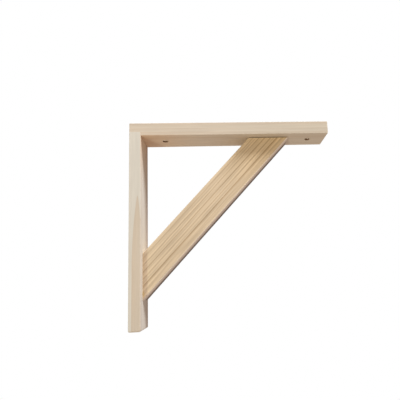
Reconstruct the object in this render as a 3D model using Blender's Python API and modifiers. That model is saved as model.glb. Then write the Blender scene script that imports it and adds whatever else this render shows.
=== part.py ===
"""A triangular shelf bracket of planed pine: an arm, an upright and a diagonal brace.

Metres, +Z up. The origin is the centre of the wall face, the arm runs along +X, and the
brace lies flush with the boards' back edges, at +Y, so it is set back from the front.
"""

import math

import bmesh
import bpy

# Boards
ARM_LENGTH = 0.250
BRACKET_HEIGHT = 0.250
BOARD_WIDTH = 0.040
ARM_THICKNESS = 0.016
UPRIGHT_THICKNESS = 0.014

# Brace
BRACE_WIDTH = 0.038
BRACE_THICKNESS = 0.030
ARM_BEYOND_BRACE = 0.050
UPRIGHT_BELOW_BRACE = 0.034

# Joint, screw holes and edges
HOUSING_DEPTH = 0.005
HOLE_DIAMETER = 0.005
COUNTERSINK_DIAMETER = 0.0075
COUNTERSINK_DEPTH = 0.0015
HOLE_FROM_WALL = 0.0405
HOLE_FROM_TIP = 0.0235
ARRIS_RADIUS = 0.0008

# Clearances
JOINT_GAP = 0.0003
CUTTER_MARGIN = 0.010
MERGE_DISTANCE = 0.00001

# Smoothness
ARRIS_SEGMENTS = 3
HOLE_SIDES = 32

# Places that follow from the sizes above
TOP_Z = BRACKET_HEIGHT / 2
BOTTOM_Z = -BRACKET_HEIGHT / 2
UNDERSIDE_Z = TOP_Z - ARM_THICKNESS
HOUSING_ROOF_Z = UNDERSIDE_Z + HOUSING_DEPTH
BACK_Y = BOARD_WIDTH / 2

# Collections
PIECES_NAME = "shelf_bracket_pieces"
CUTTERS_NAME = "cutters"


def clear_scene():
    for old in list(bpy.data.objects):
        bpy.data.objects.remove(old, do_unlink=True)


def new_collection(name):
    collection = bpy.data.collections.new(name)
    bpy.context.scene.collection.children.link(collection)
    return collection


def pine(name, colour, roughness):
    """Bare planed softwood: no varnish, so no coat and a high roughness."""
    material = bpy.data.materials.new(name)
    material.use_nodes = True
    shader = material.node_tree.nodes["Principled BSDF"]
    shader.inputs["Base Color"].default_value = (*colour, 1.0)
    shader.inputs["Roughness"].default_value = roughness
    shader.inputs["Metallic"].default_value = 0.0
    return material


def block(name, size, collection):
    """A box of this size about its own origin, with its scale in the mesh."""
    mesh = bpy.data.meshes.new(name)
    bm = bmesh.new()
    bmesh.ops.create_cube(bm, size=1.0)
    bmesh.ops.scale(bm, vec=size, verts=bm.verts)
    bm.to_mesh(mesh)
    bm.free()
    box = bpy.data.objects.new(name, mesh)
    collection.objects.link(box)
    return box


def block_between(name, low, high, collection):
    """A box with these two corners, its origin at its centre."""
    size = [b - a for a, b in zip(low, high)]
    box = block(name, size, collection)
    box.location = [(a + b) / 2 for a, b in zip(low, high)]
    return box


def as_cutter(cutter):
    cutter.hide_render = True
    cutter.display_type = "WIRE"
    return cutter


def ease_arrises(piece):
    """The planer's sharp edges are taken off by hand, so each is a small round."""
    bevel = piece.modifiers.new("eased_arrises", "BEVEL")
    bevel.width = ARRIS_RADIUS
    bevel.segments = ARRIS_SEGMENTS
    bevel.limit_method = "ANGLE"


def cut(piece, cutter):
    boolean = piece.modifiers.new(cutter.name, "BOOLEAN")
    boolean.operation = "DIFFERENCE"
    boolean.solver = "EXACT"
    boolean.object = cutter


def housing_cutter(cutters):
    """The shallow step across the arm's underside in which the upright's top end sits."""
    low = (-CUTTER_MARGIN, -BOARD_WIDTH, UNDERSIDE_Z - CUTTER_MARGIN)
    high = (UPRIGHT_THICKNESS + JOINT_GAP, BOARD_WIDTH, HOUSING_ROOF_Z)
    return as_cutter(block_between("housing_cutter", low, high, cutters))


def screw_drill(name, x, cutters):
    """A clearance drill with a countersink at the arm's underside, as a turned profile."""
    hole = HOLE_DIAMETER / 2
    sink = COUNTERSINK_DIAMETER / 2
    past_face = sink + (sink - hole) / COUNTERSINK_DEPTH * CUTTER_MARGIN
    profile = [
        (0.0, ARM_THICKNESS + CUTTER_MARGIN),
        (hole, ARM_THICKNESS + CUTTER_MARGIN),
        (hole, COUNTERSINK_DEPTH),
        (past_face, -CUTTER_MARGIN),
        (0.0, -CUTTER_MARGIN),
    ]
    mesh = bpy.data.meshes.new(name)
    edges = [(i, i + 1) for i in range(len(profile) - 1)]
    mesh.from_pydata([(r, 0.0, z) for r, z in profile], edges, [])
    drill = bpy.data.objects.new(name, mesh)
    cutters.objects.link(drill)
    turn = drill.modifiers.new("turn", "SCREW")
    turn.axis = "Z"
    turn.steps = HOLE_SIDES
    turn.render_steps = HOLE_SIDES
    turn.use_smooth_shade = True
    turn.use_merge_vertices = True
    turn.merge_threshold = MERGE_DISTANCE
    drill.location = (x, 0.0, UNDERSIDE_Z)
    return as_cutter(drill)


def make_arm(pieces, cutters):
    """The board under the shelf. Its wall end covers the upright's top."""
    low = (0.0, -BOARD_WIDTH / 2, UNDERSIDE_Z)
    high = (ARM_LENGTH, BOARD_WIDTH / 2, TOP_Z)
    arm = block_between("arm", low, high, pieces)
    ease_arrises(arm)
    cut(arm, housing_cutter(cutters))
    cut(arm, screw_drill("inner_screw_drill", HOLE_FROM_WALL, cutters))
    cut(arm, screw_drill("outer_screw_drill", ARM_LENGTH - HOLE_FROM_TIP, cutters))
    arm.data.materials.append(pine("arm_pine", (0.66, 0.52, 0.36), 0.62))
    return arm


def make_upright(pieces):
    """The board against the wall, its top end let into the arm's housing."""
    low = (0.0, -BOARD_WIDTH / 2, BOTTOM_Z)
    high = (UPRIGHT_THICKNESS, BOARD_WIDTH / 2, HOUSING_ROOF_Z - JOINT_GAP)
    upright = block_between("upright", low, high, pieces)
    ease_arrises(upright)
    upright.data.materials.append(pine("upright_pine", (0.68, 0.54, 0.38), 0.62))
    return upright


def make_brace(pieces, cutters):
    """A bar laid across the corner, with each end sawn to the board that it meets."""
    leg_out = ARM_LENGTH - UPRIGHT_THICKNESS - ARM_BEYOND_BRACE
    leg_down = BRACKET_HEIGHT - ARM_THICKNESS - UPRIGHT_BELOW_BRACE
    slope = math.atan2(leg_down, leg_out)
    uncut_length = math.hypot(leg_out, leg_down) + 2 * BRACE_WIDTH
    brace = block("brace", (uncut_length, BRACE_THICKNESS, BRACE_WIDTH), pieces)
    brace.rotation_euler = (0.0, -slope, 0.0)
    brace.location = (
        UPRIGHT_THICKNESS + leg_out / 2 - math.sin(slope) * BRACE_WIDTH / 2,
        BACK_Y - BRACE_THICKNESS / 2,
        UNDERSIDE_Z - leg_down / 2 + math.cos(slope) * BRACE_WIDTH / 2,
    )
    ease_arrises(brace)

    reach = uncut_length + BRACE_WIDTH
    wall_side_low = (-reach, -reach, -reach)
    wall_side_high = (UPRIGHT_THICKNESS + JOINT_GAP, reach, reach)
    foot_saw = block_between("brace_foot_saw", wall_side_low, wall_side_high, cutters)
    shelf_side_low = (-reach, -reach, UNDERSIDE_Z - JOINT_GAP)
    shelf_side_high = (reach, reach, UNDERSIDE_Z + reach)
    head_saw = block_between("brace_head_saw", shelf_side_low, shelf_side_high, cutters)
    cut(brace, as_cutter(foot_saw))
    cut(brace, as_cutter(head_saw))
    brace.data.materials.append(pine("brace_pine", (0.58, 0.43, 0.27), 0.66))
    return brace


def main():
    clear_scene()
    pieces = new_collection(PIECES_NAME)
    cutters = new_collection(CUTTERS_NAME)
    wall_datum = bpy.data.objects.new("wall_datum", None)
    pieces.objects.link(wall_datum)
    for piece in (
        make_arm(pieces, cutters),
        make_upright(pieces),
        make_brace(pieces, cutters),
    ):
        piece.parent = wall_datum


main()
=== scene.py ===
# %% [markdown]
# A shelf bracket of bare planed pine, lesson by lesson. The packed model gives the places
# and most sizes of its three boards, and the cells below read them from there. What this
# script adds is what the planer, the saw, the drill and the tree left on the wood.

# %% The packed frame
import math

import bpy
from mathutils import Matrix, Vector


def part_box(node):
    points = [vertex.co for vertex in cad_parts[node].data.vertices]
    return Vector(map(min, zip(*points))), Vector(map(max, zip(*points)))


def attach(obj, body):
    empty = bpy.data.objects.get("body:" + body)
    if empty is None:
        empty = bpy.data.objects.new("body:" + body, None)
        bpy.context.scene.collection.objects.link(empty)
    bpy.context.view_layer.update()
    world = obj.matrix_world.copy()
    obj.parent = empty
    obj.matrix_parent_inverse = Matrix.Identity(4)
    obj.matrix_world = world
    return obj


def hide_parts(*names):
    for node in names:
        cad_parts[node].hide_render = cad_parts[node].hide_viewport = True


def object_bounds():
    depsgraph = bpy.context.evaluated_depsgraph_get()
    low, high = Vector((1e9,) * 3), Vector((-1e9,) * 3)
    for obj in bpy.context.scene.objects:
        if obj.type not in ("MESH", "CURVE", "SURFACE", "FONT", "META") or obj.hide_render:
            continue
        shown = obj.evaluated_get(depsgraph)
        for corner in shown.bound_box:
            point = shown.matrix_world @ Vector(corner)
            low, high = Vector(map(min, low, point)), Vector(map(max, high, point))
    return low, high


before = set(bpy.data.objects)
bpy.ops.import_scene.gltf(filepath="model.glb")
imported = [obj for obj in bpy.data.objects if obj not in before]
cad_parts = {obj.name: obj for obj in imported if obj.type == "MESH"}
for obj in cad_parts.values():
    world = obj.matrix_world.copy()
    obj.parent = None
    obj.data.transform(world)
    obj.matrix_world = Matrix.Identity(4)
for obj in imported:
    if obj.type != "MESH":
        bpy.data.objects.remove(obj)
CAD_BOX = [list(corner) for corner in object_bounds()]
print("CAD box:", CAD_BOX)

# %% [markdown]
# The boards' sizes could be typed again, but then a change to the model would leave the wood
# behind, so they are read from the frame's boxes. The arm's box gives its length, width and
# thickness; the upright's thickness is its box along X, and the brace's thickness is its box
# along Y. The brace's slope follows from where its lower edge meets the two boards, which are
# the far corners of its box. Only its width is typed, because a sloping bar's box hides it.
# The model keeps a gap in each joint; here the boards close up to a hair's width.

# %% Sizes read from the frame
ARM_LOW, ARM_HIGH = (Vector(corner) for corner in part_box("arm"))
UPRIGHT_LOW, UPRIGHT_HIGH = (Vector(corner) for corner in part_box("upright"))
BRACE_LOW, BRACE_HIGH = (Vector(corner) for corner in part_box("brace"))

BOARD_WIDTH = ARM_HIGH.y - ARM_LOW.y
ARM_THICKNESS = ARM_HIGH.z - ARM_LOW.z
UPRIGHT_THICKNESS = UPRIGHT_HIGH.x - UPRIGHT_LOW.x
BRACE_THICKNESS = BRACE_HIGH.y - BRACE_LOW.y
BRACE_WIDTH = 0.038
BRACE_SLOPE = math.atan2(BRACE_HIGH.z - BRACE_LOW.z, BRACE_HIGH.x - BRACE_LOW.x)
CLOSE_FIT = 0.00005
SNUG = BRACE_LOW.x - UPRIGHT_HIGH.x - CLOSE_FIT
BRACE_FOOT = BRACE_LOW - Vector((SNUG, 0.0, SNUG * math.tan(BRACE_SLOPE)))
BRACE_HEAD = BRACE_HIGH + Vector((SNUG / math.tan(BRACE_SLOPE), 0.0, SNUG))
print("brace slope in degrees:", round(math.degrees(BRACE_SLOPE), 2))

# %% [markdown]
# Node trees can be wired by hand, but a script of single links is hard to follow. They are
# easier to read when their arithmetic looks like arithmetic. This small class stands for one
# value on its way through a tree: adding two of them makes an Add node, and so on. It serves
# geometry trees and shader trees alike, because both use the same maths nodes.

# %% Arithmetic that makes nodes
class Wire:
    """One value on its way through a node tree."""

    def __init__(self, tree, socket):
        self.tree = tree
        self.socket = socket

    def operate(self, kind, operation, others, output):
        """Sends this value and the others through one maths node."""
        node = self.tree.nodes.new(kind)
        node.operation = operation
        for socket, value in zip(node.inputs, (self, *others)):
            feed(self.tree, value, socket)
        return Wire(self.tree, node.outputs[output])

    def maths(self, operation, *others):
        return self.operate("ShaderNodeMath", operation, others, 0)

    def vector(self, operation, *others, output="Vector"):
        return self.operate("ShaderNodeVectorMath", operation, others, output)

    def scaled(self, amount):
        scale = {"operation": "SCALE"}
        return build(
            self.tree, "ShaderNodeVectorMath", "Vector", scale, Vector=self, Scale=amount
        )

    def axes(self):
        node = self.tree.nodes.new("ShaderNodeSeparateXYZ")
        feed(self.tree, self, node.inputs[0])
        return [Wire(self.tree, output) for output in node.outputs]

    def eased(self, low, high, to_low=0.0, to_high=1.0):
        """Runs smoothly from one value to another as this one goes from low to high."""
        node = self.tree.nodes.new("ShaderNodeMapRange")
        node.interpolation_type = "SMOOTHSTEP"
        for socket, value in zip(node.inputs, (self, low, high, to_low, to_high)):
            feed(self.tree, value, socket)
        return Wire(self.tree, node.outputs["Result"])

    def flipped(self):
        """One minus this value."""
        return self.maths("MULTIPLY_ADD", -1.0, 1.0)

    def __add__(self, other):
        return self.maths("ADD", other)

    def __sub__(self, other):
        return self.maths("SUBTRACT", other)

    def __mul__(self, other):
        return self.maths("MULTIPLY", other)

    def __truediv__(self, other):
        return self.maths("DIVIDE", other)


def feed(tree, value, socket):
    """Sets a socket to a plain value, or links it to a wire or to each wire in a list."""
    if isinstance(value, Wire):
        value = [value]
    if isinstance(value, list):
        for wire in value:
            tree.links.new(wire.socket, socket)
    else:
        socket.default_value = value


print("a wire can be:", [name for name in vars(Wire) if not name.startswith("__")])

# %% [markdown]
# Every other node is added by one helper, which sets it up and hands back one of its outputs.
# Noise is used so often that it has a helper of its own. It is four-dimensional, because the
# fourth coordinate gives each board its own pattern from a plain number.

# %% Nodes by name
def build(tree, kind, output, settings=None, **inputs):
    """Adds a node and hands back one output. Inputs go by name, with _ for a space."""
    node = tree.nodes.new(kind)
    for name, setting in (settings or {}).items():
        setattr(node, name, setting)
    for label, value in inputs.items():
        feed(tree, value, node.inputs[label.replace("_", " ")])
    return Wire(tree, node.outputs[output])


def combine(tree, x, y, z):
    return build(tree, "ShaderNodeCombineXYZ", 0, X=x, Y=y, Z=z)


def noise(tree, place, scale, detail, seed):
    """Noise from 0 to 1, its fourth coordinate used as the seed."""
    return build(
        tree,
        "ShaderNodeTexNoise",
        0,
        {"noise_dimensions": "4D"},
        Vector=place,
        W=seed,
        Scale=scale,
        Detail=detail,
    )


# %% [markdown]
# What repeats goes into node groups, because a group shows its numbers as named sockets that
# can be turned later. An input's type follows from its default value, and only inputs without
# one name their type. The nodes are spread out in columns, so that the trees can be read.

# %% Node groups with named sockets
GEOMETRY = "NodeSocketGeometry"
MATERIAL = "NodeSocketMaterial"
NUMBER = "NodeSocketFloat"
TYPE_OF_DEFAULT = {float: NUMBER, int: "NodeSocketInt", tuple: "NodeSocketVector"}
TYPE_OF_OUTPUT = {"GeometryNodeTree": GEOMETRY, "ShaderNodeTree": NUMBER}
ORIGIN = (0.0, 0.0, 0.0)
COLUMN_WIDTH = 220
ROW_HEIGHT = 180


def new_tree(name, kind, inputs, outputs):
    """A group and its inputs as wires by name."""
    tree = bpy.data.node_groups.new(name, kind)
    for label, default in inputs.items():
        socket_type = TYPE_OF_DEFAULT.get(type(default), default)
        socket = tree.interface.new_socket(
            label, in_out="INPUT", socket_type=socket_type
        )
        if socket_type != default:
            socket.default_value = default
    for label in outputs:
        tree.interface.new_socket(
            label, in_out="OUTPUT", socket_type=TYPE_OF_OUTPUT[kind]
        )
    start = tree.nodes.new("NodeGroupInput")
    return tree, {label: Wire(tree, start.outputs[label]) for label in inputs}


def close_tree(tree, **results):
    """Feeds the group's outputs and lays out its nodes."""
    end = tree.nodes.new("NodeGroupOutput")
    for label, wire in results.items():
        feed(tree, wire, end.inputs[label])
    lay_out(tree)
    print(tree.name, "has", len(tree.nodes), "nodes")


def lay_out(tree):
    """Puts each node one column right of the last node that feeds it."""
    depth = {node: 0 for node in tree.nodes}
    for _ in range(len(tree.nodes)):
        moved = False
        for link in tree.links:
            if depth[link.to_node] <= depth[link.from_node]:
                depth[link.to_node] = depth[link.from_node] + 1
                moved = True
        if not moved:
            break
    rows = {}
    for node, column in depth.items():
        row = rows.get(column, 0)
        node.location = (COLUMN_WIDTH * column, -ROW_HEIGHT * row)
        rows[column] = row + 1


# %% [markdown]
# A planed board is a box whose long edges, the arrises, were taken off by hand, so their
# round is small and uneven. A Bevel would make it even all along. Here a Geometry Nodes tree
# starts from a fine grid box and moves every point by a rule. First the rows of the grid are
# gathered at each edge, so that there are points enough to bend round it.

# %% Rows gathered at the edges
EDGE_ROWS = 4.0


def spread_rows(share, rows, zone, size):
    """Distance from the nearer edge, with EDGE_ROWS rows at even angles round its arc."""
    index = (share * (rows - 1.0)).maths("ROUND")
    from_edge = index.maths("MINIMUM", rows - 1.0 - index)
    left_of_arc = (from_edge / EDGE_ROWS).maths("MINIMUM", 1.0).flipped()
    inside = (left_of_arc * (math.pi / 4)).maths("TANGENT").flipped()
    step = (size * 0.5 - zone) / (rows * 0.5 - (0.5 + EDGE_ROWS))
    beyond = (from_edge - EDGE_ROWS).maths("MAXIMUM", 0.0)
    return zone * inside + step * beyond


print("rows round each arris:", EDGE_ROWS)

# %% [markdown]
# The round itself is an arc whose radius wanders along the board, with a knock here and there
# that went deeper. Each point keeps a core, the nearest place that is a full radius inside
# both faces, and is drawn in until it stands one radius away from it. The two long edges on
# one side have a radius of their own, as one side is often handled more than the other.

# %% The rounded section
WANDER_SCALE = 42.0
KNOCK_SCALE = 110.0
KNOCK = (0.70, 0.84, 0.0, 0.3)
LEAST_RADIUS = 0.7
WANDER = 0.6
TINY = 1e-9
print("widest arris, times its size:", round(LEAST_RADIUS + WANDER + KNOCK[3], 2))


def wandering_radius(tree, given, x, side_y, side_z):
    """The arris's radius at this place along its edge."""
    at_low_side = (side_y * -1.0).maths("MAXIMUM", 0.0)
    arris = given["Arris"] + (given["Low Side Arris"] - given["Arris"]) * at_low_side
    seed = given["Seed"]
    wander = noise(tree, combine(tree, x, side_y, side_z), WANDER_SCALE, 2.0, seed)
    knock = noise(tree, combine(tree, x, side_z, side_y), KNOCK_SCALE, 0.0, seed)
    return arris * (wander * WANDER + LEAST_RADIUS + knock.eased(*KNOCK))


def rounded_section(tree, given, x, shares, sides):
    """Where a point lies across and through the board, and how far from those edges."""
    radius = wandering_radius(tree, given, x, *sides)
    cores, outs, from_edges = [], [], []
    for share, side, rows, size in zip(
        shares, sides, ("Rows Across", "Rows Through"), ("Width", "Thickness")
    ):
        half = given[size] * 0.5
        from_edge = spread_rows(share, given[rows], radius, given[size])
        straight = (half - from_edge) * side
        inner = straight.maths("MAXIMUM", radius - half)
        cores.append(inner.maths("MINIMUM", half - radius))
        outs.append(straight - cores[-1])
        from_edges.append(from_edge)
    out_y, out_z = outs
    largest = out_y.maths("ABSOLUTE").maths("MAXIMUM", out_z.maths("ABSOLUTE"))
    reach = (out_y * out_y + out_z * out_z).maths("SQRT").maths("MAXIMUM", TINY)
    rounding = largest / reach
    return [core + out * rounding for core, out in zip(cores, outs)], from_edges


# %% [markdown]
# Sawn ends are sharper or softer than the long edges, so each has its own arris and draws in
# round it. A mitred end could be cut by a Boolean. A shear that grows along the board does
# the same and keeps the clean grid of points, so that is how the brace gets its two slants.

# %% The ends and their mitres
def lengthwise(given, share, side):
    """Where a point lies along the board, how far from its end, and that end's arris."""
    low, high = given["Low End Arris"], given["High End Arris"]
    end_arris = low + (high - low) * side.maths("MAXIMUM", 0.0)
    from_end = spread_rows(share, given["Rows Along"], end_arris, given["Length"])
    return (given["Length"] * 0.5 - from_end) * side, from_end, end_arris


def drawn_in(given, section, from_end, end_arris):
    """Brings the section in towards the board's middle line, round the arris of its end."""
    left = (end_arris - from_end).maths("MAXIMUM", 0.0)
    bulge = (end_arris * end_arris - left * left).maths("MAXIMUM", 0.0).maths("SQRT")
    draw_in = end_arris - bulge
    return [
        place * (draw_in / (given[size] * 0.5)).flipped()
        for place, size in zip(section, ("Width", "Thickness"))
    ]


def sheared(given, x, y):
    """Slants the ends: from the low end's mitre to the high end's along the board."""
    low, high = given["Low End Mitre"], given["High End Mitre"]
    share_along = x / given["Length"] + 0.5
    return x + y * (low + share_along * (high - low))


# %% [markdown]
# Two things are wanted of every tree. The material has to know how near an edge each point
# is, so that distance is stored on the points. And a tree ends with real mesh and one
# material, because instances are not yet mesh that can be kept.

# %% What every geometry tree needs
EDGE_DISTANCE = "edge_distance"


def store_edge_distance(tree, geometry, distance):
    return build(
        tree,
        "GeometryNodeStoreNamedAttribute",
        "Geometry",
        {"data_type": "FLOAT", "domain": "POINT"},
        Geometry=geometry,
        Name=EDGE_DISTANCE,
        Value=distance,
    )


def finish_geometry(tree, geometry, material):
    whole = build(tree, "GeometryNodeRealizeInstances", "Geometry", Geometry=geometry)
    dressed = build(
        tree, "GeometryNodeSetMaterial", "Geometry", Geometry=whole, Material=material
    )
    close_tree(tree, Geometry=dressed)


# %% [markdown]
# Now the tree itself. A planer's knives leave the faces rippled by less than a tenth of a
# millimetre, so at the end a noise, stretched along the board, pushes each point inwards.

# %% The planed board as a geometry tree
RIPPLE_SCALE = 60.0
SHORTENED = 0.7
BOARD_INPUTS = {
    "Length": 0.25,
    "Width": 0.04,
    "Thickness": 0.015,
    "Rows Along": 200,
    "Rows Across": 30,
    "Rows Through": 18,
    "Arris": 0.0008,
    "Low Side Arris": 0.0008,
    "Low End Arris": 0.0008,
    "High End Arris": 0.0008,
    "Low End Mitre": 0.0,
    "High End Mitre": 0.0,
    "Waviness": 0.00008,
    "Seed": 0.0,
    "Place": ORIGIN,
    "Along": (1.0, 0.0, 0.0),
    "Across": (0.0, 1.0, 0.0),
    "Through": (0.0, 0.0, 1.0),
    "Material": MATERIAL,
}


def position_in_board(tree, given):
    """The point's place, with lengths along the board shortened so that noise stretches."""
    position = build(tree, "GeometryNodeInputPosition", "Position")
    relative = position.vector("SUBTRACT", given["Place"])
    along = relative.vector("DOT_PRODUCT", given["Along"], output="Value")
    return relative.vector("SUBTRACT", given["Along"].scaled(along * SHORTENED))


def make_board_tree():
    tree, given = new_tree(
        "planed_board", "GeometryNodeTree", BOARD_INPUTS, ["Geometry"]
    )
    grid = build(
        tree,
        "GeometryNodeMeshCube",
        "Mesh",
        Size=(1.0, 1.0, 1.0),
        Vertices_X=given["Rows Along"],
        Vertices_Y=given["Rows Across"],
        Vertices_Z=given["Rows Through"],
    )
    position = build(tree, "GeometryNodeInputPosition", "Position")
    shares = [axis + 0.5 for axis in position.axes()]
    sides = [(share - 0.5).maths("SIGN") for share in shares]
    x, from_end, end_arris = lengthwise(given, shares[0], sides[0])
    section, from_edges = rounded_section(tree, given, x, shares[1:], sides[1:])
    y, z = drawn_in(given, section, from_end, end_arris)

    near = from_edges[0].maths("MINIMUM", from_edges[1])
    far = from_edges[0].maths("MAXIMUM", from_edges[1])
    nearest_edge = near.maths("MAXIMUM", far.maths("MINIMUM", from_end))
    stored = store_edge_distance(tree, grid, nearest_edge)
    in_place = (
        given["Place"]
        .vector("ADD", given["Along"].scaled(sheared(given, x, y)))
        .vector("ADD", given["Across"].scaled(y))
        .vector("ADD", given["Through"].scaled(z))
    )
    shaped = build(
        tree, "GeometryNodeSetPosition", "Geometry", Geometry=stored, Position=in_place
    )
    place = position_in_board(tree, given)
    ripple = noise(tree, place, RIPPLE_SCALE, 2.0, given["Seed"])
    normal = build(tree, "GeometryNodeInputNormal", "Normal")
    sunk = normal.scaled(ripple * given["Waviness"] * -1.0)
    planed = build(
        tree, "GeometryNodeSetPosition", "Geometry", Geometry=shaped, Offset=sunk
    )
    smooth = build(tree, "GeometryNodeSetShadeSmooth", "Geometry", Geometry=planed)
    finish_geometry(tree, smooth, given["Material"])
    return tree


BOARD_TREE = make_board_tree()

# %% [markdown]
# The arm is cut twice more. A shallow housing across its wall end takes the upright's top,
# and two clearance holes let screws up into the shelf. The cutters could be loose objects, as
# for a Boolean modifier, but nodes leave nothing behind. The holes repeat, so the drill is one
# shape instanced on two points, and the Mesh Boolean node takes all the cutters together.

# %% The arm's housing and screw holes
HOLE_DIAMETER = 0.005
COUNTERSINK_DIAMETER = 0.0075
COUNTERSINK_DEPTH = 0.0015
HOLE_FROM_WALL = 0.0405
HOLE_FROM_TIP = 0.0235
FIRST_HOLE = Vector((HOLE_FROM_WALL, 0.0, ARM_LOW.z))
LAST_HOLE = Vector((ARM_HIGH.x - HOLE_FROM_TIP, 0.0, ARM_LOW.z))
HOLE_COUNT = 2
DRILL_SIDES = 40
DRILL_LENGTH = 0.1

JOINERY_INPUTS = {
    "Geometry": GEOMETRY,
    "Housing Place": ORIGIN,
    "Housing Size": (0.01, 0.01, 0.01),
    "First Hole": ORIGIN,
    "To Next Hole": (0.1, 0.0, 0.0),
    "Hole Radius": HOLE_DIAMETER / 2,
    "Countersink Radius": COUNTERSINK_DIAMETER / 2,
    "Countersink Depth": COUNTERSINK_DEPTH,
    "Material": MATERIAL,
}


def at_holes(tree, first, to_next):
    """One point for each screw hole."""
    return build(
        tree,
        "GeometryNodeMeshLine",
        "Mesh",
        Count=HOLE_COUNT,
        Start_Location=first,
        Offset=to_next,
    )


def cone(tree, sides, top, bottom, depth):
    return build(
        tree,
        "GeometryNodeMeshCone",
        "Mesh",
        Vertices=sides,
        Radius_Top=top,
        Radius_Bottom=bottom,
        Depth=depth,
    )


def shifted(tree, geometry, by):
    return build(
        tree, "GeometryNodeTransform", "Geometry", Geometry=geometry, Translation=by
    )


def on_points(tree, points, instance, **placing):
    return build(
        tree,
        "GeometryNodeInstanceOnPoints",
        "Instances",
        Points=points,
        Instance=instance,
        **placing,
    )


def make_joinery_tree():
    tree, given = new_tree(
        "joinery_cuts", "GeometryNodeTree", JOINERY_INPUTS, ["Geometry"]
    )
    box = build(tree, "GeometryNodeMeshCube", "Mesh", Size=given["Housing Size"])
    housing = shifted(tree, box, given["Housing Place"])
    holes = at_holes(tree, given["First Hole"], given["To Next Hole"])
    radius, depth = given["Hole Radius"], given["Countersink Depth"]
    shank = build(
        tree,
        "GeometryNodeMeshCylinder",
        "Mesh",
        Vertices=DRILL_SIDES,
        Radius=radius,
        Depth=DRILL_LENGTH,
    )
    past_face = given["Countersink Radius"] + (given["Countersink Radius"] - radius)
    sink = cone(tree, DRILL_SIDES, radius, past_face, depth * 2.0)
    sunk = shifted(tree, sink, combine(tree, 0.0, 0.0, depth * -1.0))
    cut = build(
        tree,
        "GeometryNodeMeshBoolean",
        "Mesh",
        {"operation": "DIFFERENCE", "solver": "EXACT"},
        Mesh_1=given["Geometry"],
        Mesh_2=[housing, on_points(tree, holes, shank), on_points(tree, holes, sunk)],
    )
    finish_geometry(tree, cut, given["Material"])
    return tree


JOINERY_TREE = make_joinery_tree()

# %% [markdown]
# A drill that comes through softwood lifts a ring of torn fibres. They catch the light as
# pale specks round the holes. They could be painted on, but a picture has no depth. Each is a
# thin four-sided cone standing on the rim; a circle of points carries them, and seeded random
# values give each its length and lean. One longer splinter is left at the front of each rim,
# where the drill broke out.

# %% Torn fibres round the screw holes
TORN_MARK = -1.0
FIBRE_SIDES = 4
FIBRE_TIP = 0.15
LEANS = ((2.1, -0.9, 0.0), (4.2, 0.9, 6.28))
SIZES = ((0.5, 0.5, 0.2), (1.6, 1.6, 1.3))
SIZE_SEED_STEP = 7.0
SPLINTER_SIDES = 5
SPLINTER_TIP = 0.1
SPLINTER_SHIFT = 0.4
SPLINTER_TILT = math.radians(104)
SPLINTER_TURN = math.radians(12)

FIBRE_INPUTS = {
    "Geometry": GEOMETRY,
    "First Hole": ORIGIN,
    "To Next Hole": (0.1, 0.0, 0.0),
    "Rim Radius": COUNTERSINK_DIAMETER / 2,
    "Fibre Length": 0.0011,
    "Fibre Width": 0.00022,
    "Fibres": 26,
    "Splinter Length": 0.003,
    "Splinter Width": 0.0005,
    "Seed": 3,
    "Material": MATERIAL,
}


def random_vector(tree, low_and_high, seed):
    """Three seeded random values for each element."""
    low, high = low_and_high
    return build(
        tree,
        "FunctionNodeRandomValue",
        "Value",
        {"data_type": "FLOAT_VECTOR"},
        Min=low,
        Max=high,
        Seed=seed,
    )


def standing_fibres(tree, given):
    rim = build(
        tree,
        "GeometryNodeMeshCircle",
        "Mesh",
        Vertices=given["Fibres"],
        Radius=given["Rim Radius"],
    )
    holes = at_holes(tree, given["First Hole"], given["To Next Hole"])
    rims = on_points(tree, holes, rim)
    points = build(tree, "GeometryNodeRealizeInstances", "Geometry", Geometry=rims)
    width = given["Fibre Width"]
    fibre = cone(tree, FIBRE_SIDES, width * FIBRE_TIP, width, given["Fibre Length"])
    lean = random_vector(tree, LEANS, given["Seed"])
    size = random_vector(tree, SIZES, given["Seed"] + SIZE_SEED_STEP)
    return on_points(tree, points, fibre, Rotation=lean, Scale=size)


def lying_splinters(tree, given):
    width, length = given["Splinter Width"], given["Splinter Length"]
    splinter = cone(tree, SPLINTER_SIDES, width * SPLINTER_TIP, width, length)
    to_front = combine(tree, length * SPLINTER_SHIFT, given["Rim Radius"], 0.0)
    first = given["First Hole"].vector("SUBTRACT", to_front)
    fronts = at_holes(tree, first, given["To Next Hole"])
    turn = (0.0, SPLINTER_TILT, SPLINTER_TURN)
    return on_points(tree, fronts, splinter, Rotation=turn)


def make_fibre_tree():
    tree, given = new_tree(
        "torn_fibres", "GeometryNodeTree", FIBRE_INPUTS, ["Geometry"]
    )
    torn = build(
        tree,
        "GeometryNodeJoinGeometry",
        "Geometry",
        Geometry=[standing_fibres(tree, given), lying_splinters(tree, given)],
    )
    real = build(tree, "GeometryNodeRealizeInstances", "Geometry", Geometry=torn)
    marked = store_edge_distance(tree, real, TORN_MARK)
    joined = build(
        tree,
        "GeometryNodeJoinGeometry",
        "Geometry",
        Geometry=[given["Geometry"], marked],
    )
    finish_geometry(tree, joined, given["Material"])
    return tree


FIBRE_TREE = make_fibre_tree()

# %% [markdown]
# Pine shows its growth rings on every face: pale spring wood that darkens slowly into a hard
# summer line, then starts again. So the pattern is not painted on a face. The shader works
# out how far each point lies from the tree's pith, a line beside the board, and the board's
# faces and end grain all cut the same rings. Where the pith line bends away, a ring only
# just grazes a face and leaves the long pointed tongue of a flat-sawn board.

# %% Distance from the pith as a shader group
WAVER_SCALE = 60.0
WAVER_ALONG = 0.15
PITH_INPUTS = {
    "Board Place": ORIGIN,
    "Pith Across": 0.03,
    "Pith Through": 0.05,
    "Bend Across": 0.0,
    "Bend Start": -0.1,
    "Bend End": 0.1,
    "Waver": 0.001,
    "Seed": 0.0,
}


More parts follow.
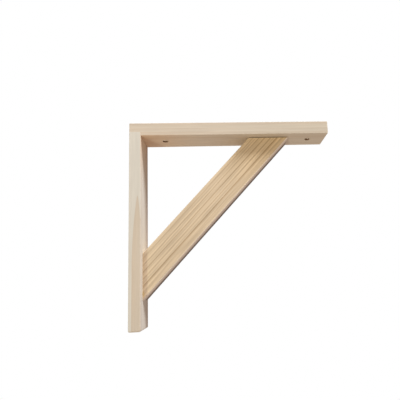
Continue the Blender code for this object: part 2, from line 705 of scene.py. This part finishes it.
def make_pith_group():
    """Puts out the distance from the pith in metres, wavering as a real ring does."""
    tree, given = new_tree("distance_from_pith", "ShaderNodeTree", PITH_INPUTS, ["Radius"])
    along, across, through = given["Board Place"].axes()
    bend = along.eased(given["Bend Start"], given["Bend End"])
    from_pith_y = across - (given["Pith Across"] + given["Bend Across"] * bend)
    from_pith_z = through - given["Pith Through"]
    radius = (from_pith_y * from_pith_y + from_pith_z * from_pith_z).maths("SQRT")
    slow = combine(tree, along * WAVER_ALONG, across, through)
    waver = noise(tree, slow, WAVER_SCALE, 2.0, given["Seed"]) - 0.5
    close_tree(tree, Radius=radius + waver * given["Waver"] * 2.0)
    return tree


PITH_GROUP = make_pith_group()

# %% [markdown]
# No two years are alike, so a Wave texture, whose bands are all the same, would not do. Each
# board lists its own years: how wide each ring grew, in millimetres, and how dark its summer
# wood is. The list becomes a colour ramp with two stops for each year, and it repeats once
# the ramp has run through.

# %% Years of growth as a ramp
MM_PER_METRE = 1000.0
RING_EDGE_MM = 0.35
FIRST_RADIUS = 0.003


def summer_wood(tree, radius, years):
    """From 0 in spring wood to a year's own darkness at the end of its summer."""
    period = sum(width for width, darkness in years)
    turn = (radius - FIRST_RADIUS) * MM_PER_METRE / period
    ramp = tree.nodes.new("ShaderNodeValToRGB")
    feed(tree, turn.maths("FRACT"), ramp.inputs["Fac"])
    print(len(years), "years in", round(period, 1), "mm")
    stops = []
    reached = 0.0
    for width, darkness in years:
        stops.append((reached + RING_EDGE_MM, 0.0))
        reached += width
        stops.append((reached, darkness))
    elements = ramp.color_ramp.elements
    while len(elements) < len(stops):
        elements.new(0.5)
    for element, (place, shade) in zip(elements, stops):
        element.position = place / period
        element.color = (shade, shade, shade, 1.0)
    return Wire(tree, ramp.outputs["Color"])


# %% [markdown]
# Between the rings lie the fibres: fine threads, broader grain streaks a few centimetres
# long, a slow drift in tone from one part of the board to the next, and the short dark
# dashes of resin canals. All four are noise stretched along the board, so one table lists
# what tells them apart: the stretch, the scale, the detail and a step in the seed.

# %% Fibres, tone and resin as a shader group
STREAKS = {
    "Fibres": (0.03, 1400.0, 3.0, 0.0),
    "Grain": (0.045, 420.0, 2.0, 6.0),
    "Tone": (0.10, 90.0, 2.0, 3.0),
    "Resin": (0.10, 2300.0, 0.0, 9.0),
}
RESIN_DASHES = (0.76, 0.84)


def make_streak_group():
    """Puts out four values from 0 to 1, one for each row of the table."""
    inputs = {"Board Place": ORIGIN, "Seed": 0.0}
    tree, given = new_tree("fibres_and_tone", "ShaderNodeTree", inputs, STREAKS)
    along, across, through = given["Board Place"].axes()
    found = {}
    for label, (stretch, scale, detail, seed_step) in STREAKS.items():
        place = combine(tree, along * stretch, across, through)
        found[label] = noise(tree, place, scale, detail, given["Seed"] + seed_step)
    found["Resin"] = found["Resin"].eased(*RESIN_DASHES)
    close_tree(tree, **found)
    return tree


STREAK_GROUP = make_streak_group()

# %% [markdown]
# Handled edges are painted paler than the faces: partly a painted highlight, where the light
# catches the round, and partly the fibres there, which are cut open. Pointiness would find
# them too, but it changes with the mesh. The board tree stored each point's distance from the
# nearest edge, so this group only has to turn that distance into a broken, soft band.

# %% Eased edges as a shader group
BREAK_SCALE = 160.0
BREAKS = (0.25, 0.6)
BAND_FALLOFF = (0.35, 1.0, 1.0, 0.0)
EDGE_INPUTS = {
    "Board Place": ORIGIN,
    "Edge Distance": 1.0,
    "Band Width": 0.0013,
    "Seed": 0.0,
}


def make_edge_group():
    tree, given = new_tree("eased_edges", "ShaderNodeTree", EDGE_INPUTS, ["Band"])
    broken = noise(tree, given["Board Place"], BREAK_SCALE, 3.0, given["Seed"])
    width = given["Band Width"] * (broken + 0.5)
    band = (given["Edge Distance"] / width).eased(*BAND_FALLOFF)
    close_tree(tree, Band=band * broken.eased(*BREAKS))
    return tree


EDGE_GROUP = make_edge_group()

# %% [markdown]
# Each board has its own material, because each was sawn from another part of the tree. They
# share one builder. First come its two helpers, to mix colours and to use a group.

# %% Mixing colours and using groups
def colour_mix(tree, factor, first, second, blend="MIX"):
    """Mixes two colours, either of which may be a wire or a plain colour."""
    node = tree.nodes.new("ShaderNodeMix")
    node.data_type = "RGBA"
    node.blend_type = blend
    colours = [socket for socket in node.inputs if socket.type == "RGBA"]
    feed(tree, factor, node.inputs[0])
    for socket, colour in zip(colours, (first, second)):
        feed(tree, colour if isinstance(colour, Wire) else (*colour, 1.0), socket)
    output = [socket for socket in node.outputs if socket.type == "RGBA"][0]
    return Wire(tree, output)


def group_node(tree, group, **values):
    node = tree.nodes.new("ShaderNodeGroup")
    node.node_tree = group
    for label, value in values.items():
        feed(tree, value, node.inputs[label.replace("_", " ")])
    return {output.name: Wire(tree, output) for output in node.outputs}


# %% [markdown]
# Bare pine has no varnish, so its roughness is high and it has no coat. The ring colour comes
# first, then the light and dark of the fibres, then the pale edges, then the marks that only
# this board has, and last the torn fibres, which are known by their stored edge distance. A
# Mapping node in texture mode turns the object's coordinates into the board's own: along it,
# across it and through it, from its middle.

# %% The pine material
TORN_COLOUR = (0.90, 0.80, 0.66)
FIBRE_LIGHT = (0.25, 0.75, 0.965, 1.03)
TONE_LIGHT = (0.25, 0.75, 0.965, 1.02)
RESIN_LIGHT = (0.0, 1.0, 1.0, 0.88)
SUMMER_TONE = (0.2, 0.8, 0.75, 1.1)
ROUGHNESS = (0.2, 0.8, 0.56, 0.68)
SUMMER_SMOOTHER = 0.08
SUMMER_HEIGHT = 0.030
FIBRE_HEIGHT = 0.045
EDGE_HIGHLIGHT_AND_PALENESS = 0.45
GRAIN_SPAN = (0.3, 0.7)
GRAIN_GAIN = 0.6
PALER = 1.05
LIFTED = 0.03
BUMP_STRENGTH = 0.6
BUMP_DISTANCE = 0.001
SPECULAR = 0.3


def pale_wood(spring):
    """Spring wood a little lighter, for the edges' painted highlight and their cut-open fibres."""
    return tuple(min(1.0, part * PALER + LIFTED) for part in spring)


def pine_material(
    name, board, spring, summer, pith, years, seed, lateness, grain, marks
):
    """Bare pine for one board."""
    material = bpy.data.materials.new(name)
    material.use_nodes = True
    tree = material.node_tree
    shader = tree.nodes["Principled BSDF"]
    place = build(
        tree,
        "ShaderNodeMapping",
        "Vector",
        {"vector_type": "TEXTURE"},
        Vector=build(tree, "ShaderNodeTexCoord", "Object"),
        Location=board["place"],
        Rotation=board["turn"],
    )
    grown = group_node(tree, PITH_GROUP, Board_Place=place, Seed=seed, **pith)
    streaks = group_node(tree, STREAK_GROUP, Board_Place=place, Seed=seed)
    edge_distance = build(
        tree, "ShaderNodeAttribute", "Fac", {"attribute_name": EDGE_DISTANCE}
    )
    edges = group_node(
        tree, EDGE_GROUP, Board_Place=place, Edge_Distance=edge_distance, Seed=seed
    )

    line = summer_wood(tree, grown["Radius"], years).maths("POWER", lateness)
    line = line * streaks["Tone"].eased(*SUMMER_TONE)
    colour = colour_mix(tree, line.maths("MINIMUM", 1.0), spring, summer)
    light = streaks["Fibres"].eased(*FIBRE_LIGHT)
    grain_light = (*GRAIN_SPAN, 1.0 - grain, 1.0 + grain * GRAIN_GAIN)
    light = light * streaks["Grain"].eased(*grain_light)
    light = light * streaks["Tone"].eased(*TONE_LIGHT)
    light = light * streaks["Resin"].eased(*RESIN_LIGHT)
    colour = colour_mix(tree, 1.0, colour, combine(tree, light, light, light), "MULTIPLY")
    # painted highlight, together with the paler cut fibres, along the eased edges
    colour = colour_mix(tree, edges["Band"] * EDGE_HIGHLIGHT_AND_PALENESS, colour, pale_wood(spring))
    colour = marks(tree, place, colour)
    torn = edge_distance.maths("LESS_THAN", TORN_MARK / 2)
    feed(tree, colour_mix(tree, torn, colour, TORN_COLOUR), shader.inputs["Base Color"])

    rough = streaks["Fibres"].eased(*ROUGHNESS) - line * SUMMER_SMOOTHER
    feed(tree, rough, shader.inputs["Roughness"])
    height = line * SUMMER_HEIGHT + streaks["Fibres"] * FIBRE_HEIGHT
    bump = build(
        tree,
        "ShaderNodeBump",
        "Normal",
        Strength=BUMP_STRENGTH,
        Distance=BUMP_DISTANCE,
        Height=height,
    )
    feed(tree, bump, shader.inputs["Normal"])
    shader.inputs["Specular IOR Level"].default_value = SPECULAR
    lay_out(tree)
    print(name, "has", len(tree.nodes), "nodes")
    return material


# %% [markdown]
# Where each board lies: its middle, and the three directions along, across and through it.
# The same facts place the mesh and turn the wood's pattern, so the grain always runs along
# the board, up the upright and up the brace's slope.

# %% The three boards' places
def board_place(middle, along, across):
    along, across = Vector(along).normalized(), Vector(across).normalized()
    through = along.cross(across)
    turn = Matrix((along, across, through)).transposed().to_euler()
    return {
        "place": Vector(middle),
        "along": along,
        "across": across,
        "through": through,
        "turn": turn,
    }


ARM_PLACE = board_place((ARM_LOW + ARM_HIGH) / 2, (1, 0, 0), (0, 1, 0))
UPRIGHT_PLACE = board_place((UPRIGHT_LOW + UPRIGHT_HIGH) / 2, (0, 0, 1), (0, 1, 0))
UP_SLOPE = Vector((math.cos(BRACE_SLOPE), 0.0, math.sin(BRACE_SLOPE)))
OVER_SLOPE = Vector((-math.sin(BRACE_SLOPE), 0.0, math.cos(BRACE_SLOPE)))
BRACE_MIDDLE = (BRACE_FOOT + BRACE_HEAD) / 2 + OVER_SLOPE * BRACE_WIDTH / 2
BRACE_PLACE = board_place(BRACE_MIDDLE, UP_SLOPE, OVER_SLOPE)
LOWER_LENGTH = (BRACE_HEAD - BRACE_FOOT).xz.length
MITRE_LOSS = BRACE_WIDTH * (math.tan(BRACE_SLOPE) + 1 / math.tan(BRACE_SLOPE)) / 2
BRACE_MIDDLE_LENGTH = LOWER_LENGTH - MITRE_LOSS
print("brace length along its middle:", round(BRACE_MIDDLE_LENGTH, 4))

# %% [markdown]
# A modifier's inputs are set by their identifiers before the object is first evaluated. The
# trees could stay on the object as modifiers, but the evaluated result becomes a plain mesh on
# a plain object, so nothing live is left on it and it exports as it looks.

# %% Making a piece from its trees
SHARP_DEGREES = 50.0


def set_inputs(modifier, values):
    for item in modifier.node_group.interface.items_tree:
        if item.item_type != "SOCKET" or item.in_out != "INPUT":
            continue
        if item.name in values:
            modifier[item.identifier] = values[item.name]


def make_piece(name, steps):
    """Runs an empty mesh through each (tree, inputs) in turn and keeps the result."""
    maker = bpy.data.objects.new(name + "_maker", bpy.data.meshes.new(name + "_start"))
    bpy.context.scene.collection.objects.link(maker)
    for tree, values in steps:
        modifier = maker.modifiers.new(tree.name, "NODES")
        modifier.node_group = tree
        set_inputs(modifier, values)
    evaluated = maker.evaluated_get(bpy.context.evaluated_depsgraph_get())
    mesh = bpy.data.meshes.new_from_object(evaluated)
    mesh.name = name
    bpy.data.objects.remove(maker, do_unlink=True)
    mesh.set_sharp_from_angle(angle=math.radians(SHARP_DEGREES))
    piece = bpy.data.objects.new(name, mesh)
    bpy.context.scene.collection.objects.link(piece)
    triangles = sum(len(face.vertices) - 2 for face in mesh.polygons)
    print(name, "has", triangles, "triangles")
    return piece


def board_inputs(board, size, rows, material, seed, arrises, ends, mitres=(0.0, 0.0)):
    """The board tree's inputs. Its sizes come first there, in the order given here."""
    sizes = dict(zip(BOARD_INPUTS, (*size, *rows, *arrises, *ends, *mitres)))
    places = {
        label.title(): board[label] for label in ("place", "along", "across", "through")
    }
    return {**sizes, **places, "Seed": seed, "Material": material}


# %% [markdown]
# The arm carries the shelf. Its wood is quiet, and grows a little darker towards its tip. Near
# the inner corner it is painted with warm shade, redder and darker, and so is the upright. The
# two bores are painted dark, as painted shade. These marks could be painted as a picture, but
# rules in the board's own coordinates stay sharp at any distance.

# %% The arm's wood
TIP_SHADE = (0.90, 0.915, 0.90)
TIP_REACH = (-0.09, 0.11)
CORNER_SHADE = (1.0, 0.86, 0.74)
CORNER_SHADE_REACH = 0.075
CORNER_SHADE_SHARE = 0.9
BORE_SHADE = (0.20, 0.11, 0.055)
BORE_EDGE = (-0.0001, 0.0003, 1.0, 0.0)
FACE_SKIN = (0.0002, 0.0012, 1.0, 0.0)
SINK_MARGIN = 1.3


def shaded_corner(tree, from_corner, on_face, colour):
    """Paints warm shade on a face within reach of the inner corner."""
    near = from_corner.eased(0.0, CORNER_SHADE_REACH, CORNER_SHADE_SHARE, 0.0) * on_face
    return colour_mix(tree, near, colour, CORNER_SHADE, "MULTIPLY")


def arm_marks(tree, place, colour):
    along, across, through = place.axes()
    middle = ARM_PLACE["place"].x
    colour = colour_mix(tree, along.eased(*TIP_REACH), colour, TIP_SHADE, "MULTIPLY")
    from_underside = through + ARM_THICKNESS / 2
    below = from_underside.eased(*FACE_SKIN)
    # painted warm shade on the arm's underside near the inner corner
    colour = shaded_corner(tree, along + (middle - UPRIGHT_THICKNESS), below, colour)
    in_sink = from_underside.maths("LESS_THAN", COUNTERSINK_DEPTH * SINK_MARGIN)
    wider = (COUNTERSINK_DIAMETER - HOLE_DIAMETER) / 2
    reach = in_sink * wider + HOLE_DIAMETER / 2
    # painted shade inside the two bores and their countersinks
    for hole in (FIRST_HOLE, LAST_HOLE):
        axis = (hole.x - middle, 0.0, 0.0)
        flat = combine(tree, along, across, 0.0)
        from_wall = flat.vector("DISTANCE", axis, output="Value") - reach
        colour = colour_mix(tree, from_wall.eased(*BORE_EDGE), colour, BORE_SHADE)
    return colour


ARM_PINE = pine_material(
    "arm_pine",
    ARM_PLACE,
    spring=(0.74, 0.65, 0.525),
    summer=(0.60, 0.42, 0.27),
    pith={
        "Pith_Across": 0.006,
        "Pith_Through": -0.030,
        "Bend_Across": 0.0015,
        "Waver": 0.0006,
    },
    years=[(5.0, 0.6), (3.5, 0.5), (6.0, 0.7), (4.5, 0.4), (7.0, 0.65), (3.0, 0.5)],
    seed=2.0,
    lateness=2.2,
    grain=0.05,
    marks=arm_marks,
)

# %% [markdown]
# The arm is made in three steps: the planed board, the cuts, and what the cuts tore. The box
# that cuts the housing reaches far past the wall end and the underside, so that no thin skin
# is left there, and ends a hair's width from the upright.

# %% The arm
BOARD_ROWS = (211, 35, 21)
HOUSING_SIZE = Vector((0.04, 0.08, 0.02))
HOUSING_TOP_RIGHT = UPRIGHT_HIGH + Vector((CLOSE_FIT, 0.0, CLOSE_FIT))
HOUSING_PLACE = HOUSING_TOP_RIGHT - HOUSING_SIZE / 2
HOUSING_PLACE.y = 0.0
HOLES = {"First Hole": FIRST_HOLE, "To Next Hole": LAST_HOLE - FIRST_HOLE}

ARM_BOARD = board_inputs(
    ARM_PLACE,
    size=(ARM_HIGH.x - ARM_LOW.x, BOARD_WIDTH, ARM_THICKNESS),
    rows=BOARD_ROWS,
    material=ARM_PINE,
    seed=1.0,
    arrises=(0.0004, 0.0003),
    ends=(0.0006, 0.0012),
)
ARM_CUTS = {
    "Housing Place": HOUSING_PLACE,
    "Housing Size": HOUSING_SIZE,
    "Material": ARM_PINE,
    **HOLES,
}
arm = make_piece(
    "pine_arm",
    [
        (BOARD_TREE, ARM_BOARD),
        (JOINERY_TREE, ARM_CUTS),
        (FIBRE_TREE, {"Material": ARM_PINE, **HOLES}),
    ],
)
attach(arm, "root")
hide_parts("arm")

# %% [markdown]
# The upright stands against the wall. One strong year grazes its front face and shows as a
# tan tongue. Its inner face is painted with shade towards the back arris, as a soft band that
# multiplies the wood's colour, so the grain still shows.

# %% The upright's wood
INNER_BACK_SHADE = (0.50, 0.36, 0.29)
INNER_BACK_SHADE_WIDTH = 0.022
INNER_BACK_SHADE_DEPTH = 0.5


def upright_marks(tree, place, colour):
    along, across, through = place.axes()
    on_inner_face = (through + UPRIGHT_THICKNESS / 2).eased(*FACE_SKIN)
    from_top = along * -1.0 + (UPRIGHT_HIGH.z - UPRIGHT_LOW.z) / 2
    # painted warm shade on the upright's inner face near the inner corner
    colour = shaded_corner(tree, from_top, on_inner_face, colour)
    from_back = across * -1.0 + BOARD_WIDTH / 2
    # painted shade on the inner face towards the back arris
    back_shade = from_back.eased(0.0, INNER_BACK_SHADE_WIDTH, INNER_BACK_SHADE_DEPTH, 0.0) * on_inner_face
    return colour_mix(tree, back_shade, colour, INNER_BACK_SHADE, "MULTIPLY")


UPRIGHT_PINE = pine_material(
    "upright_pine",
    UPRIGHT_PLACE,
    spring=(0.77, 0.735, 0.645),
    summer=(0.66, 0.51, 0.355),
    pith={
        "Pith_Across": 0.02966,
        "Pith_Through": -0.003,
        "Bend_Across": 0.00040,
        "Bend_Start": -0.045,
        "Bend_End": 0.052,
        "Waver": 0.00006,
    },
    years=[(6.0, 0.3), (7.5, 0.5), (5.5, 0.35), (8.0, 0.6), (6.0, 0.4), (14.0, 0.91)],
    seed=7.0,
    lateness=5.0,
    grain=0.03,
    marks=upright_marks,
)

# %% [markdown]
# The upright needs the planed board only. Its foot is worn round, as a low corner gets
# knocked. Its top end, let into the housing, is as sharp as the saw left it. So the two ends
# get arrises of their own.

# %% The upright
UPRIGHT_BOARD = board_inputs(
    UPRIGHT_PLACE,
    size=(UPRIGHT_HIGH.z - UPRIGHT_LOW.z, BOARD_WIDTH, UPRIGHT_THICKNESS),
    rows=BOARD_ROWS,
    material=UPRIGHT_PINE,
    seed=6.0,
    arrises=(0.0004, 0.0004),
    ends=(0.0018, 0.0001),
)
upright = make_piece("pine_upright", [(BOARD_TREE, UPRIGHT_BOARD)])
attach(upright, "root")
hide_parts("upright")

# %% [markdown]
# The brace was sawn far from the pith, so its years run straight along it as close lines,
# about ten across its width. Its foot is painted with shade along the joint, with a yellow
# run of resin near its lower corner, and its head is painted darker and yellower, as shade
# under the arm. Its underside is painted paler, as painted light, and dark along its back
# arris, as painted shade. A single ring list could not give all this, so the marks are laid
# over the rings.

# %% The brace's wood
FOOT_SHADE = (0.60, 0.43, 0.25)
RESIN_COLOUR = (0.62, 0.43, 0.17)
RESIN_PAST_FOOT = 0.014
RESIN_BELOW_MIDDLE = 0.013
RESIN_PLACE = (
    -BRACE_MIDDLE_LENGTH / 2 - RESIN_PAST_FOOT,
    -RESIN_BELOW_MIDDLE,
    BRACE_THICKNESS / 2,
)
HEAD_SHADE = (0.99, 0.93, 0.80)
HEAD_SHADE_REACH = 0.10
UNDERSIDE_LIGHT = (0.92, 0.84, 0.73)
BACK_ARRIS_SHADE = (0.20, 0.165, 0.135)
BACK_ARRIS_SHADE_WIDTH = 0.026
FULL_BACK_ARRIS_SHADE = 0.3
BACK_ARRIS_SHADE_STRAY = 0.005
UNDERSIDE_LIGHT_SHARE = 0.85
UNDERSIDE_SKIN = (0.0004, 0.0016, 1.0, 0.0)
FOOT_SHADE_REACH = (0.001, 0.007, 0.55, 0.0)
FOOT_SHADE_STRAY = 0.006
RESIN_RUN = (0.0015, 0.005, 0.7, 0.0)
STRAY_SCALE = 170.0
STRAY_SEED = 3.0


def brace_marks(tree, place, colour):
    along, across, through = place.axes()
    from_foot = along - across * math.tan(BRACE_SLOPE) + BRACE_MIDDLE_LENGTH / 2
    stray = noise(tree, place, STRAY_SCALE, 2.0, STRAY_SEED) - 0.5
    # painted shade along the joint at the brace's foot
    foot_shade = (from_foot + stray * FOOT_SHADE_STRAY).eased(*FOOT_SHADE_REACH)
    colour = colour_mix(tree, foot_shade, colour, FOOT_SHADE)
    run = place.vector("DISTANCE", RESIN_PLACE, output="Value")
    colour = colour_mix(tree, run.eased(*RESIN_RUN), colour, RESIN_COLOUR)
    from_head = along * -1.0 + BRACE_MIDDLE_LENGTH / 2
    # painted shade from the arm on the brace's head, darker and yellower
    head_shade = from_head.eased(0.0, HEAD_SHADE_REACH, 1.0, 0.0)
    colour = colour_mix(tree, head_shade, colour, HEAD_SHADE, "MULTIPLY")
    on_underside = (across + BRACE_WIDTH / 2).eased(*UNDERSIDE_SKIN)
    # painted light: the brace's underside is made paler
    colour = colour_mix(tree, on_underside * UNDERSIDE_LIGHT_SHARE, colour, UNDERSIDE_LIGHT)
    # painted shade along the underside's back arris
    from_back = through + BRACE_THICKNESS / 2 + stray * BACK_ARRIS_SHADE_STRAY
    back_arris_shade = from_back.eased(BACK_ARRIS_SHADE_WIDTH * FULL_BACK_ARRIS_SHADE, BACK_ARRIS_SHADE_WIDTH, 1.0, 0.0)
    return colour_mix(tree, back_arris_shade * on_underside, colour, BACK_ARRIS_SHADE)


BRACE_PINE = pine_material(
    "brace_pine",
    BRACE_PLACE,
    spring=(0.80, 0.65, 0.455),
    summer=(0.38, 0.235, 0.105),
    pith={
        "Pith_Across": -0.076,
        "Pith_Through": 0.014,
        "Waver": 0.0007,
    },
    years=[
        (6.5, 0.3), (8.5, 0.5), (4.3, 0.92), (2.7, 0.5), (3.0, 0.8), (3.0, 0.45),
        (2.6, 0.95), (2.9, 0.5), (2.5, 0.8), (3.0, 0.5), (3.0, 0.7), (4.0, 0.45),
    ],
    seed=4.0,
    lateness=2.0,
    grain=0.14,
    marks=brace_marks,
)

# %% [markdown]
# The brace is the same planed board, laid along the slope and mitred at both ends. Its foot
# slants by the tangent of the slope and its head by the opposite of one over it, so that each
# end lies flat on its board. The saw left these ends sharp, so their arrises are very small.

# %% The brace
BRACE_BOARD = board_inputs(
    BRACE_PLACE,
    size=(BRACE_MIDDLE_LENGTH, BRACE_WIDTH, BRACE_THICKNESS),
    rows=(201, 35, 25),
    material=BRACE_PINE,
    seed=4.0,
    arrises=(0.0009, 0.0013),
    ends=(0.00005, 0.00005),
    mitres=(math.tan(BRACE_SLOPE), -1 / math.tan(BRACE_SLOPE)),
)
brace = make_piece("pine_brace", [(BOARD_TREE, BRACE_BOARD)])
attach(brace, "root")
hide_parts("brace")

# %% [markdown]
# The stage is a plain pale floor under a white sky. The floor could lie just below the part,
# but then the low lamp would be under it, so it lies well below, as a floor does under a
# shelf. Only the camera sees the full white. To the wood the sky is a dim warm room, and the floor
# throws back the brighter warm light that colours every face that looks down.

# %% Floor and sky
FLOOR_DROP = 1.3
FLOOR_HALF = 6.0
BLACK = (0.0, 0.0, 0.0, 1.0)
WHITE = (1.0, 1.0, 1.0)
SKY_LIGHT = (0.355, 0.285, 0.26)
FLOOR_LIGHT = (0.57, 0.46, 0.40)


def white_to_camera(tree, lighting):
    """White where the camera looks, and this colour for the light that other rays find."""
    seen = build(tree, "ShaderNodeLightPath", "Is Camera Ray")
    return colour_mix(tree, seen, lighting, WHITE)


def make_floor():
    mesh = bpy.data.meshes.new("floor")
    z = CAD_BOX[0][2] - FLOOR_DROP
    corners = [(-1, -1), (1, -1), (1, 1), (-1, 1)]
    mesh.from_pydata(
        [(x * FLOOR_HALF, y * FLOOR_HALF, z) for x, y in corners], [], [(0, 1, 2, 3)]
    )
    floor = bpy.data.objects.new("floor", mesh)
    bpy.context.scene.collection.objects.link(floor)
    material = bpy.data.materials.new("pale_floor")
    material.use_nodes = True
    tree = material.node_tree
    shader = tree.nodes["Principled BSDF"]
    shader.inputs["Base Color"].default_value = BLACK
    shader.inputs["Roughness"].default_value = 1.0
    shader.inputs["Specular IOR Level"].default_value = 0.0
    feed(tree, white_to_camera(tree, FLOOR_LIGHT), shader.inputs["Emission Color"])
    shader.inputs["Emission Strength"].default_value = 1.0
    mesh.materials.append(material)
    print("floor at:", round(z, 3))


def make_sky():
    world = bpy.data.worlds.new("white_sky")
    world.use_nodes = True
    tree = world.node_tree
    background = tree.nodes["Background"]
    feed(tree, white_to_camera(tree, SKY_LIGHT), background.inputs["Color"])
    background.inputs["Strength"].default_value = 1.0
    bpy.context.scene.world = world


make_floor()
make_sky()

# %% [markdown]
# Two lamps. The key stands high, a little in front and to the right, and is the only strong
# light from above; its place follows from the shadows that the arm and the brace throw on the
# upright's inner face, whose edges move back by about a third of what they drop. A point
# lamp would throw them with hard edges; a disk softens them as they get longer. A smaller,
# dimmer fill stands low in front and to the left. It lights the arm's underside but for the
# triangle behind the upright, and leaves the upright's narrow shadow on the brace's foot.

# %% The lamps
LAMP_AIM = Vector((0.10, 0.0, 0.0))


def make_lamp(name, toward, distance, size, power, colour):
    data = bpy.data.lights.new(name, "AREA")
    data.color = colour
    data.shape = "DISK"
    data.size = size
    data.energy = power
    lamp = bpy.data.objects.new(name, data)
    bpy.context.scene.collection.objects.link(lamp)
    direction = Vector(toward).normalized()
    lamp.location = LAMP_AIM + direction * distance
    lamp.rotation_euler = direction.to_track_quat("Z", "Y").to_euler()
    print(name, "stands at", [round(part, 2) for part in lamp.location])


make_lamp(
    "key_lamp",
    toward=(0.45, -0.32, 1.0),
    distance=1.6,
    size=0.44,
    power=31.0,
    colour=(0.93, 0.95, 1.0),
)
make_lamp(
    "low_fill",
    toward=(-0.62, -1.0, -0.45),
    distance=2.2,
    size=0.28,
    power=12.2,
    colour=(0.90, 1.0, 0.86),
)

# %% [markdown]
# The camera stands a little less than half a metre in front, level with the lower part of the
# bracket, and looks a little up, so that the arm's underside and the inner faces show. It
# could be placed by eye. These numbers come from fitting the bracket's own edges instead.

# %% The camera
CAMERA_PLACE = (0.11175, -0.44729, -0.07202)
CAMERA_TURN = (99.059, 2.786, -4.622)
CAMERA_LENS = 32.208
CAMERA_SHIFT = (-0.1375, 0.055)
SENSOR_WIDTH = 36.0
NEAREST_SEEN = 0.01


def make_camera():
    data = bpy.data.cameras.new("camera")
    data.lens = CAMERA_LENS
    data.sensor_width = SENSOR_WIDTH
    data.shift_x, data.shift_y = CAMERA_SHIFT
    data.clip_start = NEAREST_SEEN
    camera = bpy.data.objects.new("camera", data)
    camera.location = CAMERA_PLACE
    camera.rotation_euler = [math.radians(angle) for angle in CAMERA_TURN]
    bpy.context.scene.collection.objects.link(camera)
    bpy.context.scene.camera = camera


make_camera()
bpy.context.scene.view_settings.view_transform = "Standard"
print("camera stands at", CAMERA_PLACE)

# %% [markdown]
# The wood must not stand out past the model's box, because the two are used in turn. So the
